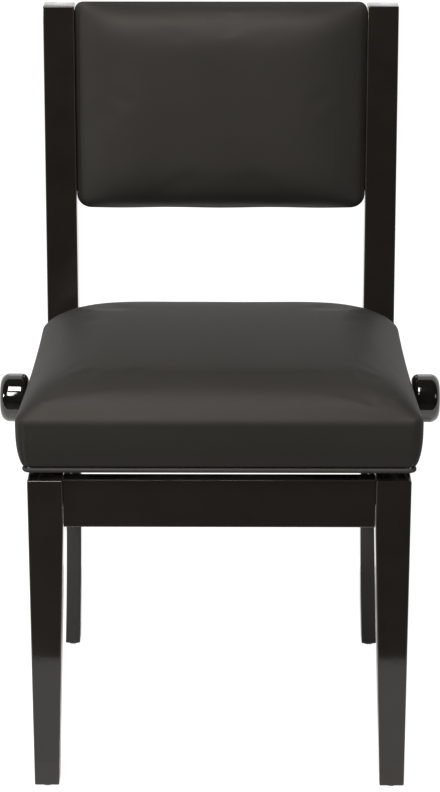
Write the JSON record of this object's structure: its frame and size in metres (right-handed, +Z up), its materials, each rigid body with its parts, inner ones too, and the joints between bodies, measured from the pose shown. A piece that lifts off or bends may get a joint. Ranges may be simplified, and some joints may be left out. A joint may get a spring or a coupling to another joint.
{
  "type": "adjustable piano chair",
  "caption": "Black lacquered piano chair with a padded backrest and an upholstered seat raised by a knob-driven screw and scissor lift.",
  "frame": {"origin": "on the floor, under the middle of the overall box", "axes": "+Z up, the sitter faces -Y, +X to the right as the picture shows it"},
  "size_m": [0.52, 0.4399, 0.8551],
  "materials": {
    "lacquered_wood": "gloss",
    "stained_beech": "matte",
    "stained_plywood": "matte",
    "leatherette": "satin",
    "leatherette_piping": "satin",
    "zinc_plated_steel": "satin",
    "bright_steel": "polished",
    "bronze": "satin",
    "glossy_knob": "gloss",
    "black_nylon": "matte"
  },
  "bodies": {
    "frame": {"front_leg_left": "lacquered_wood", "front_leg_right": "lacquered_wood", "rear_post_left": "lacquered_wood", "rear_post_right": "lacquered_wood", "front_apron": "lacquered_wood", "rear_apron": "lacquered_wood", "side_apron_left": "lacquered_wood", "side_apron_right": "lacquered_wood", "corner_block_front_left": "stained_beech", "corner_block_front_right": "stained_beech", "corner_block_rear_left": "stained_beech", "corner_block_rear_right": "stained_beech", "glide_front_left": "black_nylon", "glide_front_right": "black_nylon", "glide_rear_left": "black_nylon", "glide_rear_right": "black_nylon", "lift_cleat_left": "stained_beech", "lift_cleat_right": "stained_beech", "lift_strip_front": "zinc_plated_steel", "lift_strip_rear": "zinc_plated_steel", "lower_bracket_front": "zinc_plated_steel", "lower_bracket_rear": "zinc_plated_steel", "lower_pivot_pin_front": "bright_steel", "lower_pivot_pin_rear": "bright_steel", "backrest_board": "stained_plywood", "backrest_cushion": "leatherette", "backrest_back_cover": "leatherette", "backrest_dowel_lower_left": "stained_beech", "backrest_dowel_lower_right": "stained_beech", "backrest_dowel_upper_left": "stained_beech", "backrest_dowel_upper_right": "stained_beech"},
    "seat": {"seat_board": "stained_plywood", "seat_rail_front": "stained_beech", "seat_rail_rear": "stained_beech", "seat_rail_left": "stained_beech", "seat_rail_right": "stained_beech", "seat_cushion": "leatherette", "seat_piping": "leatherette_piping", "upper_bracket_front": "zinc_plated_steel", "upper_bracket_rear": "zinc_plated_steel", "upper_pivot_pin_front": "bright_steel", "upper_pivot_pin_rear": "bright_steel", "spindle_bush_left": "bronze", "spindle_bush_right": "bronze"},
    "spindle": {"spindle_shaft": "bright_steel", "knob_left": "glossy_knob", "knob_right": "glossy_knob", "spindle_collar_left": "zinc_plated_steel", "spindle_collar_right": "zinc_plated_steel"},
    "outer_arms": {"outer_arm_front": "zinc_plated_steel", "outer_arm_rear": "zinc_plated_steel", "centre_rod": "bright_steel"},
    "inner_arms": {"inner_arm_front": "zinc_plated_steel", "inner_arm_rear": "zinc_plated_steel", "slide_rod": "bright_steel"},
    "trunnion": {"trunnion": "bright_steel"}
  },
  "joints": [
    {"name": "seat_lift", "type": "slide", "parent": "frame", "child": "seat", "axis": [0, 0, 1], "range_m": [-0.009, 0.09]},
    {"name": "spindle_turn", "type": "hinge", "parent": "seat", "child": "spindle", "pos_m": [0, -0.0315, 0.4265], "axis": [1, 0, 0], "range_deg": [-328, 3273.5]},
    {"name": "outer_arm_swing", "type": "hinge", "parent": "frame", "child": "outer_arms", "pos_m": [-0.145, -0.0315, 0.38], "axis": [0, -1, 0], "range_deg": [-1.8, 17.96]},
    {"name": "inner_arm_swing", "type": "hinge", "parent": "seat", "child": "inner_arms", "pos_m": [-0.145, -0.0315, 0.4265], "axis": [0, 1, 0], "range_deg": [-1.8, 17.96]},
    {"name": "trunnion_level", "type": "hinge", "parent": "outer_arms", "child": "trunnion", "pos_m": [0.1519, -0.0315, 0.4265], "axis": [0, 1, 0], "range_deg": [-1.8, 17.96]}
  ],
  "couplings": [
    {"joint": "spindle_turn", "follows": "seat_lift", "rad_per_m": 634.66},
    {"joint": "outer_arm_swing", "follows": "seat_lift", "rad_per_m": 3.48},
    {"joint": "inner_arm_swing", "follows": "seat_lift", "rad_per_m": 3.48},
    {"joint": "trunnion_level", "follows": "seat_lift", "rad_per_m": 3.48}
  ]
}
